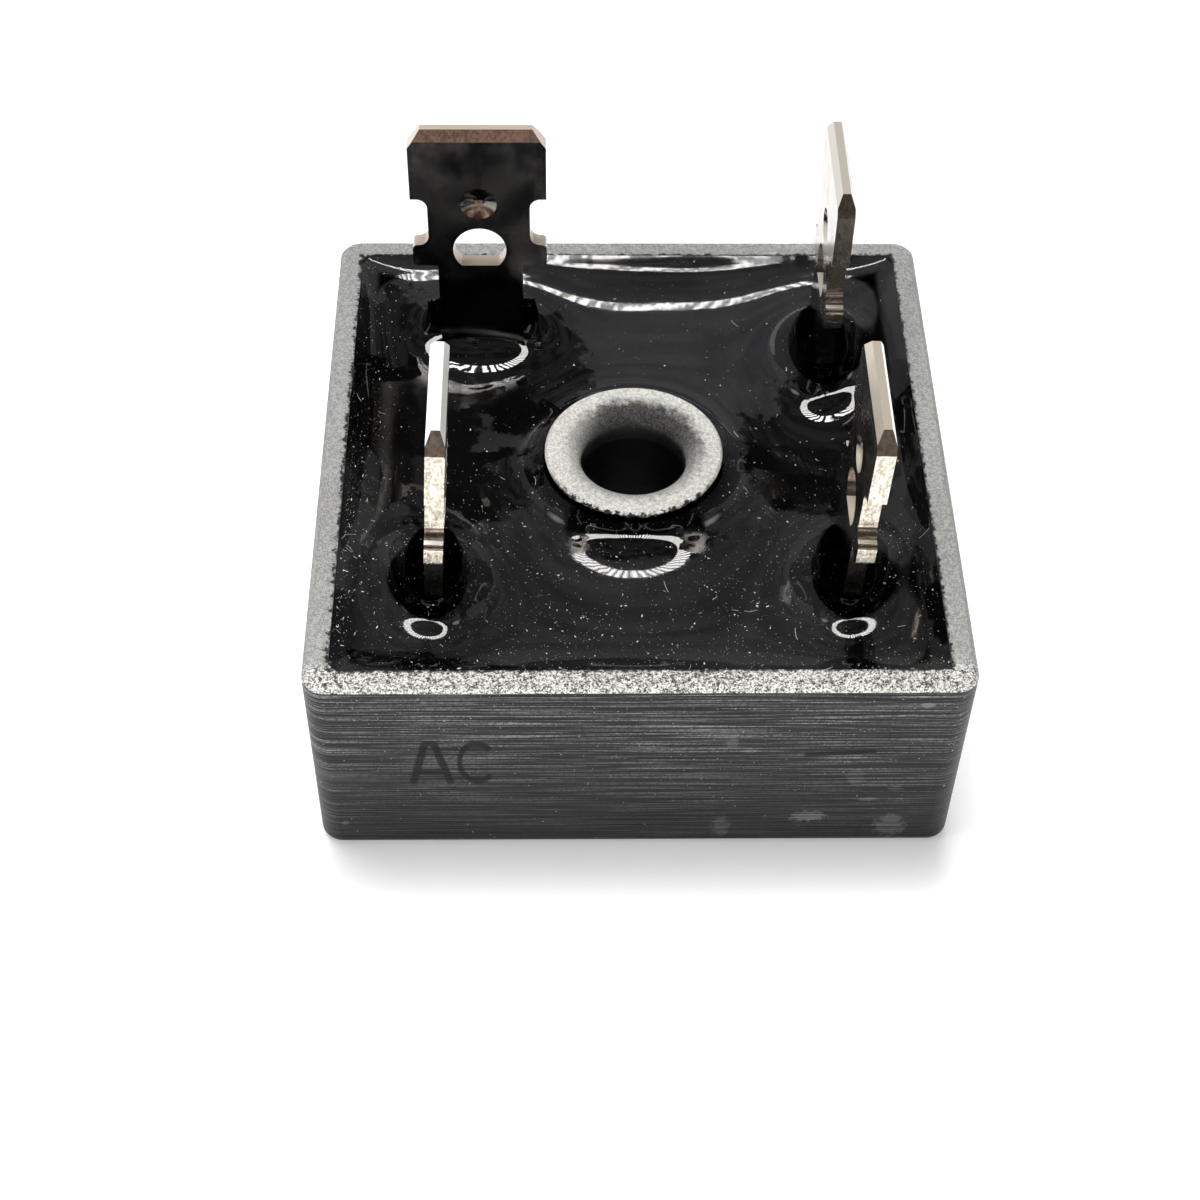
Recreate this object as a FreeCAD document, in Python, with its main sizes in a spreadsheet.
# Bridge rectifier in a square metal case with four upright blade terminals.
# The origin is the centre of the screw hole on the underside. +Z runs up along the terminals,
# and -Y is the side that carries the polarity marks.
import FreeCAD, Part
import os
import re

import Sketcher
from FreeCAD import Placement, Rotation, Vector

os.makedirs("parts", exist_ok=True)
doc = FreeCAD.newDocument("bridge_rectifier")

# Driving dimensions in millimetres, and one angle in degrees
DIMENSIONS = {
    # cup of the case, with the screw boss cast in its middle
    "case_width": 28.6,
    "case_height": 11.3,
    "case_wall": 1.1,
    "case_floor": 2.0,
    "case_corner_round": 1.0,
    "case_inner_round": 0.6,
    "case_rim_chamfer": 0.2,
    "case_base_round": 0.4,
    "boss_radius": 4.1,
    "boss_drop": 0.25,
    "boss_edge_chamfer": 0.1,
    "bore_radius": 2.45,
    "bore_lip_round": 0.8,
    "bore_base_chamfer": 0.25,
    # epoxy filling, which climbs the walls, the boss and the stems
    "potting_drop": 2.8,
    "potting_rim_gap": 0.2,
    "potting_boss_gap": 0.1,
    "potting_edge": 0.1,
    "potting_film": 0.3,
    "potting_blend": 2.0,
    "collar_root": 0.1,
    "collar_high": 2.6,
    "collar_reach": 2.0,
    "collar_angle": 30,
    # stamped sheet of the terminals
    "sheet_thick": 0.8,
    "blade_top": 22.1,
    "blade_width": 6.3,
    "blade_length": 3.7,
    "blade_corner_wide": 0.6,
    "blade_corner_high": 0.9,
    "bevel_deep": 0.22,
    "bevel_high": 0.55,
    "neck_inset": 0.775,
    "neck_high": 2.6,
    "neck_round": 0.5,
    "shoulder_high": 1.2,
    "shoulder_round": 0.25,
    "dimple_drop": 3.95,
    "dimple_radius": 0.85,
    "dimple_deep": 0.3,
    "hole_drop": 6.6,
    "hole_radius": 1.25,
    "stem_width": 4.0,
    "fold_round": 0.4,
    "arm_width": 1.8,
    # place of each fold: how far inside the wall, and how far from the middle along the wall
    "ac_front_inset": 3.88,
    "ac_front_offset": 7.15,
    "ac_rear_inset": 4.0,
    "ac_rear_offset": 7.3,
    "plus_inset": 4.67,
    "plus_offset": 7.15,
    "minus_inset": 4.16,
    "minus_offset": 7.15,
    # how far each blade leans towards the middle of the part, in degrees
    "ac_front_lean": 3.2,
    "ac_rear_lean": 0,
    "plus_lean": -3,
    "minus_lean": -1.85,
    # what the epoxy seals in
    "bond_thick": 0.15,
    "bond_inset": 0.4,
    "insulator_thick": 0.65,
    "insulator_wall_gap": 2.2,
    "insulator_boss_gap": 0.6,
    "insulator_round": 1.0,
    "die_width": 3.8,
    "die_thick": 0.3,
    "die_bevel": 0.12,
    "die_inward": 0.525,
    "pad_margin": 0.25,
    "solder_thick": 0.1,
    "solder_inset": 0.15,
}

# Sizes that follow from the driving ones, as formulas
CAVITY_HALF = "(case_width / 2 - case_wall)"
BOSS_TOP = "(case_height - boss_drop)"
POTTING_LEVEL = "(case_height - potting_drop)"
POTTING_EDGE_TOP = "(case_height - potting_rim_gap)"
POTTING_SWEEP = "(potting_drop - potting_rim_gap - potting_film)"
INSULATOR_HALF = f"({CAVITY_HALF} - insulator_wall_gap)"
INSULATOR_BASE = "(case_floor + bond_thick)"
LOWER_FOOT = f"({INSULATOR_BASE} + insulator_thick)"
LOWER_SOLDER = f"({LOWER_FOOT} + sheet_thick)"
DIE_BASE = f"({LOWER_SOLDER} + solder_thick)"
UPPER_SOLDER = f"({DIE_BASE} + die_thick)"
UPPER_FOOT = f"({UPPER_SOLDER} + solder_thick)"
DIE_HALF = "(die_width / 2)"
DIE_PLACE = f"((boss_radius + {CAVITY_HALF}) / 2 - die_inward)"
PAD_HALF = f"({DIE_HALF} + pad_margin)"
SOLDER_HALF = f"({DIE_HALF} - solder_inset)"
NECK_TOP = "(blade_top - blade_length)"
NECK_HALF = "(blade_width / 2 - neck_inset)"
SHOULDER_TOP = f"({NECK_TOP} - neck_high)"
SHOULDER_BASE = f"({SHOULDER_TOP} - shoulder_high)"
DIMPLE_BALL = "((dimple_radius * dimple_radius + dimple_deep * dimple_deep) / (2 * dimple_deep))"

NEAR = 1e-4

sizes = doc.addObject("Spreadsheet::Sheet", "Sizes")
for row, (alias, size) in enumerate(DIMENSIONS.items(), start=1):
    sizes.set(f"A{row}", alias)
    sizes.set(f"B{row}", str(size))
    sizes.setAlias(f"B{row}", alias)
doc.recompute()


def bound(formula):
    """The formula with every name, apart from sin, cos and tan, pointed at the sheet."""
    return re.sub(r"\b(?!sin|cos|tan)[a-z][a-z_]+", r"Sizes.\g<0>", formula)


def value(formula):
    """The number that a formula gives."""
    return float(sizes.evalExpression(bound(formula)))


def drive(thing, setting, formula):
    """Bind one setting of an object to a formula."""
    thing.setExpression(setting, bound(formula))


def new_body(name):
    body = doc.addObject("PartDesign::Body", name)
    body.Label = name
    return body


def origin_plane(body, role):
    return [item for item in body.Origin.OriginFeatures if item.Role == role][0]


def new_sketch(body, name, role="XY_Plane", level=None):
    """A sketch on one of the body's own planes, moved along that plane's normal."""
    sketch = body.newObject("Sketcher::SketchObject", name)
    sketch.AttachmentSupport = [(origin_plane(body, role), "")]
    sketch.MapMode = "FlatFace"
    if level:
        drive(sketch, "AttachmentOffset.Base.z", level)
    return sketch


def pin(sketch, kind, shape, point, formula):
    """Hold one coordinate of a point at a formula's value."""
    place = sketch.addConstraint(Sketcher.Constraint(kind, -1, 1, shape, point, value(formula)))
    drive(sketch, f"Constraints[{place}]", formula)


def draw_outline(sketch, corners):
    """A closed outline of straight sides, each corner held by its two formulas."""
    spots = [Vector(value(x), value(y), 0) for x, y in corners]
    first = sketch.GeometryCount
    for here, there in zip(spots, spots[1:] + spots[:1]):
        sketch.addGeometry(Part.LineSegment(here, there), False)
    for side in range(len(spots)):
        after = first + (side + 1) % len(spots)
        sketch.addConstraint(Sketcher.Constraint("Coincident", first + side, 2, after, 1))
    for side, (x, y) in enumerate(corners, start=first):
        pin(sketch, "DistanceX", side, 1, x)
        pin(sketch, "DistanceY", side, 1, y)


def draw_box(sketch, left, right, low, high):
    draw_outline(sketch, [(left, low), (right, low), (right, high), (left, high)])


def draw_square(sketch, half):
    draw_box(sketch, f"-{half}", half, f"-{half}", half)


def draw_circle(sketch, radius, x="0", y="0"):
    centre = Vector(value(x), value(y), 0)
    ring = sketch.addGeometry(Part.Circle(centre, Vector(0, 0, 1), value(radius)), False)
    if x == y == "0":
        sketch.addConstraint(Sketcher.Constraint("Coincident", ring, 3, -1, 1))
    else:
        pin(sketch, "DistanceX", ring, 3, x)
        pin(sketch, "DistanceY", ring, 3, y)
    place = sketch.addConstraint(Sketcher.Constraint("Radius", ring, value(radius)))
    drive(sketch, f"Constraints[{place}]", radius)


def pad(body, sketch, length, both_ways=False):
    """Raise a sketch into the body."""
    feature = body.newObject("PartDesign::Pad", sketch.Name + "_pad")
    feature.Profile = sketch
    feature.SideType = "Symmetric" if both_ways else "One side"
    drive(feature, "Length", length)
    doc.recompute()
    return feature


def pocket(body, sketch, depth=None):
    """Sink a sketch into the body, or cut right through both ways where no depth is given."""
    before = body.Shape.Volume
    feature = body.newObject("PartDesign::Pocket", sketch.Name + "_pocket")
    feature.Profile = sketch
    if depth:
        drive(feature, "Length", depth)
    else:
        feature.Type = "ThroughAll"
        feature.SideType = "Symmetric"
    doc.recompute()
    if body.Shape.Volume > before - NEAR:
        raise RuntimeError(f"{feature.Name} removed nothing")
    return feature


def same(first, second):
    return abs(first - second) < NEAR


def upright(edge):
    box = edge.BoundBox
    return box.ZLength > NEAR and box.XLength < NEAR and box.YLength < NEAR


def upright_corner(half):
    """A test for the upright edges of a square, away from any round hole in it."""
    def test(edge):
        box = edge.BoundBox
        return upright(edge) and same(abs(box.XMin), half) and same(abs(box.YMin), half)
    return test


def lies_at(height):
    """A test for edges that lie flat at one height."""
    def test(edge):
        return same(edge.BoundBox.ZMin, height) and same(edge.BoundBox.ZMax, height)
    return test


def ring_at(height, radius):
    """A test for a circle about the Z axis."""
    flat = lies_at(height)

    def test(edge):
        return flat(edge) and same(edge.BoundBox.XMax, radius) and same(edge.BoundBox.YMax, radius)
    return test


def dress(body, kind, name, test, setting, formula):
    """Round or chamfer every edge of the body's last feature that passes the test."""
    base = body.Tip
    names = [f"Edge{place}" for place, edge in enumerate(base.Shape.Edges, start=1) if test(edge)]
    if not names:
        raise RuntimeError(f"{name} found no edges")
    feature = body.newObject(kind, name)
    feature.Base = (base, names)
    drive(feature, setting, formula)
    doc.recompute()
    return feature


def round_edges(body, name, test, radius):
    return dress(body, "PartDesign::Fillet", name, test, "Radius", radius)


def chamfer_edges(body, name, test, size):
    return dress(body, "PartDesign::Chamfer", name, test, "Size", size)


def swing(body, turn):
    """Turn a body about the middle of the part, into its own corner or side."""
    body.Placement = Placement(Vector(0, 0, 0), Rotation(Vector(0, 0, 1), turn))


def tip(body, angle, x, z):
    """Lean a body by an angle about the line along Y through one place."""
    body.Placement = Placement(Vector(0, 0, 0), Rotation(Vector(0, 1, 0), 1))
    drive(body, "Placement.Rotation.Angle", angle)
    drive(body, "Placement.Base.x", f"({x} - {x} * cos({angle}) - {z} * sin({angle}))")
    drive(body, "Placement.Base.z", f"({z} + {x} * sin({angle}) - {z} * cos({angle}))")


# Case: a square cup with the screw boss standing on its floor
def make_case():
    body = new_body("case")
    outside = new_sketch(body, "case_outside")
    draw_square(outside, "(case_width / 2)")
    pad(body, outside, "case_height")
    round_edges(body, "case_corners", upright, "case_corner_round")
    round_edges(body, "case_base_edge", lies_at(0), "case_base_round")
    chamfer_edges(body, "case_rim_edge", lies_at(value("case_height")), "case_rim_chamfer")

    cavity = new_sketch(body, "case_cavity", level="case_height")
    draw_square(cavity, CAVITY_HALF)
    draw_circle(cavity, "boss_radius")
    pocket(body, cavity, "(case_height - case_floor)")
    round_edges(body, "case_inner_corners", upright_corner(value(CAVITY_HALF)), "case_inner_round")

    boss_end = new_sketch(body, "boss_end", level="case_height")
    draw_circle(boss_end, "(boss_radius + case_wall)")
    pocket(body, boss_end, "boss_drop")
    bore = new_sketch(body, "bore")
    draw_circle(bore, "bore_radius")
    pocket(body, bore)
    top = value(BOSS_TOP)
    round_edges(body, "bore_lip", ring_at(top, value("bore_radius")), "bore_lip_round")
    chamfer_edges(body, "boss_edge", ring_at(top, value("boss_radius")), "boss_edge_chamfer")
    chamfer_edges(body, "bore_base", ring_at(0, value("bore_radius")), "bore_base_chamfer")
    return body


# Flat layers under the live parts: squares with room for the boss
def make_layer(name, level, thickness, inset):
    body = new_body(name)
    half = f"({INSULATOR_HALF} - {inset})"
    outline = new_sketch(body, name + "_outline", level=level)
    draw_square(outline, half)
    draw_circle(outline, f"(boss_radius + insulator_boss_gap + {inset})")
    pad(body, outline, thickness)
    round_edges(body, name + "_corners", upright_corner(value(half)), "insulator_round")
    return body


# Terminal: one stamped blank, folded so that its foot lies flat under or over two dice.
# It is drawn in the front left corner of the part, with the side of its blade that faces the wall
# to -X. A hand of -1 mirrors it, and a turn about the middle of the part takes it to its corner.
def make_terminal(name, spot, foot_level, hand, turn):
    lean = f"{spot}_lean"
    across = f"({CAVITY_HALF} - {spot}_inset)"
    outer = f"({across} + sheet_thick / 2)"
    inner = f"({across} - sheet_thick / 2)"
    fold_inner = f"({across} - sheet_thick / 2 / cos({lean}))"
    fold_outer = f"({across} + sheet_thick / 2 / cos({lean}) + sheet_thick * tan({lean}))"
    fold_end = f"({fold_inner} - fold_round / tan((90 - {lean}) / 2))"
    strip_end = f"({fold_end} - arm_width)"
    foot_top = f"({foot_level} + sheet_thick)"
    stem_long = f"({SHOULDER_BASE} - {foot_top})"

    def aside(distance):
        """The X of a place this far from the middle of the part, on the terminal's side."""
        return f"({-hand} * {distance})"

    def along(distance):
        """The Y of a place this far from the middle line of the blade."""
        return f"({distance} - {spot}_offset)"

    def stem_end(off_middle):
        """A corner of the stem's upper end, this far off the middle of the sheet."""
        distance = f"({across} - {stem_long} * sin({lean}) + {off_middle} * cos({lean}))"
        height = f"({foot_top} + {stem_long} * cos({lean}) + {off_middle} * sin({lean}))"
        return aside(distance), height

    def fold_edge(distance, height):
        flat = lies_at(value(height))
        place = value(aside(distance))

        def test(edge):
            return flat(edge) and edge.BoundBox.XLength < NEAR and same(edge.BoundBox.XMin, place)
        return test

    def side_corner(half_width, heights):
        """A test for the short edges through the sheet at both sides of the blade."""
        def test(edge):
            box = edge.BoundBox
            through = box.XLength > NEAR and box.YLength < NEAR and box.ZLength < NEAR
            at_side = same(abs(box.YMin - value(along("0"))), value(half_width))
            return through and at_side and any(same(box.ZMin, value(height)) for height in heights)
        return test

    folded = new_body(name + "_folded")
    strip = new_sketch(folded, name + "_strip", "XZ_Plane", f"{spot}_offset")
    strip_corners = [
        (aside(fold_outer), foot_level),
        (aside(strip_end), foot_level),
        (aside(strip_end), foot_top),
        (aside(fold_inner), foot_top),
        stem_end("(-sheet_thick / 2)"),
        stem_end("(sheet_thick / 2)"),
    ]
    draw_outline(strip, strip_corners)
    pad(folded, strip, "stem_width", both_ways=True)
    fold_outside = fold_edge(fold_outer, foot_level)
    fold_inside = fold_edge(fold_inner, foot_top)
    round_edges(folded, name + "_fold_outside", fold_outside, "(fold_round + sheet_thick)")
    round_edges(folded, name + "_fold_inside", fold_inside, "fold_round")

    tongue_low = along("-stem_width / 2")
    tongue_high = along("stem_width / 2")
    pad_far = f"({DIE_PLACE} + {PAD_HALF})"
    pad_near = f"({DIE_PLACE} - {PAD_HALF})"
    arm_far = f"({pad_near} + arm_width)"
    foot_plates = {
        "side_arm": (aside(arm_far), aside(pad_near), tongue_low, "0"),
        "front_arm": (aside(fold_end), "0", tongue_low, tongue_high),
        "side_pad": (aside(pad_far), aside(pad_near), f"-{PAD_HALF}", PAD_HALF),
        "front_pad": (f"-{PAD_HALF}", PAD_HALF, f"-{pad_far}", f"-{pad_near}"),
    }
    for plate_name, edges in foot_plates.items():
        plate = new_sketch(folded, f"{name}_{plate_name}", level=foot_level)
        draw_box(plate, *edges)
        pad(folded, plate, "sheet_thick")

    body = new_body(name + "_upper")
    blade = new_sketch(body, name + "_blade", "YZ_Plane", aside(across))
    half_profile = [
        ("blade_width / 2", SHOULDER_BASE),
        ("blade_width / 2", SHOULDER_TOP),
        (NECK_HALF, SHOULDER_TOP),
        (NECK_HALF, NECK_TOP),
        ("blade_width / 2", NECK_TOP),
        ("blade_width / 2", "(blade_top - blade_corner_high)"),
        ("blade_width / 2 - blade_corner_wide", "blade_top"),
    ]
    right_side = [(along(f"({share})"), height) for share, height in half_profile]
    left_side = [(along(f"-({share})"), height) for share, height in reversed(half_profile)]
    draw_outline(blade, right_side + left_side)
    pad(body, blade, "sheet_thick", both_ways=True)
    neck_corners = side_corner(NECK_HALF, [SHOULDER_TOP, NECK_TOP])
    shoulder_corners = side_corner("blade_width / 2", [SHOULDER_BASE, SHOULDER_TOP])
    round_edges(body, name + "_neck_corners", neck_corners, "neck_round")
    round_edges(body, name + "_shoulder_corners", shoulder_corners, "shoulder_round")

    bevel = new_sketch(body, name + "_bevel", "XZ_Plane", f"{spot}_offset")
    bevel_start = "(blade_top - bevel_high)"
    above_top = "(blade_top + bevel_deep)"
    for face, into_sheet, off_sheet in ((inner, "+", "-"), (outer, "-", "+")):
        deep = aside(f"({face} {into_sheet} bevel_deep)")
        clear = aside(f"({face} {off_sheet} bevel_deep)")
        wedge = [
            (aside(face), bevel_start),
            (deep, "blade_top"),
            (deep, above_top),
            (clear, above_top),
            (clear, bevel_start),
        ]
        draw_outline(bevel, wedge)
    pocket(body, bevel)

    hole = new_sketch(body, name + "_hole", "YZ_Plane")
    draw_circle(hole, "hole_radius", along("0"), "(blade_top - hole_drop)")
    pocket(body, hole)

    dimple = body.newObject("PartDesign::SubtractiveSphere", name + "_dimple")
    dimple.AttachmentSupport = [(origin_plane(body, "YZ_Plane"), "")]
    dimple.MapMode = "FlatFace"
    drive(dimple, "Radius", DIMPLE_BALL)
    drive(dimple, "AttachmentOffset.Base.x", along("0"))
    drive(dimple, "AttachmentOffset.Base.y", "(blade_top - dimple_drop)")
    drive(dimple, "AttachmentOffset.Base.z", aside(f"({inner} - {DIMPLE_BALL} + dimple_deep)"))
    tip(body, f"({hand} * {lean})", aside(across), foot_top)

    terminal = doc.addObject("Part::MultiFuse", name)
    terminal.Label = name
    terminal.Shapes = [folded, body]
    terminal.Refine = True
    swing(terminal, turn)
    doc.recompute()
    return terminal


# Die: a square of silicon at the middle of one side, its upper edge bevelled
def make_die(side, turn):
    name = f"die_{side}"
    body = new_body(name)
    outline = new_sketch(body, name + "_outline", level=DIE_BASE)
    draw_box(outline, f"-({DIE_PLACE} + {DIE_HALF})", f"-({DIE_PLACE} - {DIE_HALF})", f"-{DIE_HALF}", DIE_HALF)
    pad(body, outline, "die_thick")
    chamfer_edges(body, name + "_edge", lies_at(value(UPPER_SOLDER)), "die_bevel")
    swing(body, turn)
    return body


# Solder: the thin layer between a die and a foot
def make_solder(side, turn, place, level):
    name = f"solder_{side}_{place}"
    body = new_body(name)
    outline = new_sketch(body, name + "_outline", level=level)
    near, far = f"-({DIE_PLACE} - {SOLDER_HALF})", f"-({DIE_PLACE} + {SOLDER_HALF})"
    draw_box(outline, far, near, f"-{SOLDER_HALF}", SOLDER_HALF)
    pad(body, outline, "solder_thick")
    swing(body, turn)
    return body


# Collar: the epoxy that climbed a stem, as a low pyramid around it
def make_collar(spot, foot_level, hand, turn):
    body = new_body(f"{spot}_collar")
    outline = new_sketch(body, f"{spot}_collar_outline", level=f"({POTTING_LEVEL} - collar_root)")
    above_fold = f"({POTTING_LEVEL} + collar_high / 2 - {foot_level} - sheet_thick)"
    across = f"({CAVITY_HALF} - {spot}_inset - {above_fold} * tan({spot}_lean))"
    wide = "(sheet_thick / 2 + collar_reach)"
    long = "(stem_width / 2 + collar_reach)"
    sides = [f"({-hand} * ({across} {sign} {wide}))" for sign in "+-"]
    draw_box(outline, *sides, f"(-{spot}_offset - {long})", f"(-{spot}_offset + {long})")
    rise = pad(body, outline, "(collar_high + collar_root)")
    drive(rise, "TaperAngle", "-collar_angle")
    doc.recompute()
    swing(body, turn)
    return body


# Potting: poured in last, so it takes the shape that the case and the live parts leave free
def make_potting(case, sealed, collars):
    block = new_body("poured_block")
    outline = new_sketch(block, "poured_outline", level="(case_floor / 2)")
    draw_square(outline, f"({CAVITY_HALF} + case_wall / 2)")
    draw_circle(outline, "((boss_radius + bore_radius) / 2)")
    pad(block, outline, f"({POTTING_EDGE_TOP} - case_floor / 2)")

    surface = new_sketch(block, "poured_surface", level=POTTING_EDGE_TOP)
    surface_half = f"({CAVITY_HALF} - potting_edge)"
    draw_square(surface, surface_half)
    draw_circle(surface, "(boss_radius + potting_edge)")
    pocket(block, surface, "(potting_drop - potting_rim_gap)")
    chamfer_edges(block, "poured_sweep", lies_at(value(POTTING_LEVEL)), POTTING_SWEEP)
    round_edges(block, "poured_blend", lies_at(value(POTTING_LEVEL)), "potting_blend")
    round_boss = new_sketch(block, "poured_round_boss", level=POTTING_EDGE_TOP)
    draw_circle(round_boss, f"(boss_radius + {POTTING_SWEEP} / 2)")
    pocket(block, round_boss, "(boss_drop + potting_boss_gap - potting_rim_gap)")

    poured = doc.addObject("Part::MultiFuse", "poured")
    poured.Shapes = [block] + collars
    taken = doc.addObject("Part::MultiFuse", "taken")
    taken.Shapes = [case] + sealed
    potting = doc.addObject("Part::Cut", "potting")
    potting.Base = poured
    potting.Tool = taken
    potting.Label = "potting"
    doc.recompute()
    return potting


# Each terminal: node, place, level of its foot, hand, turn
TERMINALS = [
    ("terminal_ac_front", "ac_front", LOWER_FOOT, 1, 0),
    ("terminal_ac_rear", "ac_rear", LOWER_FOOT, 1, 180),
    ("terminal_plus", "plus", UPPER_FOOT, 1, -90),
    ("terminal_minus", "minus", UPPER_FOOT, -1, 0),
]
# Each side of the case that has a die, with its turn from the left side
SIDES = {"left": 0, "rear": -90, "right": 180, "front": 90}

case = make_case()
bond = make_layer("bond", "case_floor", "bond_thick", "bond_inset")
insulator = make_layer("insulator", INSULATOR_BASE, "insulator_thick", "0")
terminals = [make_terminal(*terminal) for terminal in TERMINALS]
dice = [make_die(side, turn) for side, turn in SIDES.items()]
solder = []
for side, turn in SIDES.items():
    solder.append(make_solder(side, turn, "lower", LOWER_SOLDER))
    solder.append(make_solder(side, turn, "upper", UPPER_SOLDER))
collars = [make_collar(*terminal[1:]) for terminal in TERMINALS]
sealed = [bond, insulator] + terminals + dice + solder
potting = make_potting(case, sealed, collars)
nodes = [case, potting] + sealed

for thing in doc.Objects:
    if "Invalid" in thing.State or "Error" in thing.State:
        raise RuntimeError(f"{thing.Name} did not compute")
for node in nodes:
    shape = node.Shape
    if shape.isNull() or not shape.isValid() or len(shape.Solids) != 1:
        raise RuntimeError(f"{node.Label} is not one valid solid")
for node in nodes:
    node.Shape.exportStep(f"parts/{node.Label}.step")
    print(f"{node.Label}: {node.Shape.Volume:.3f} cubic millimetres")
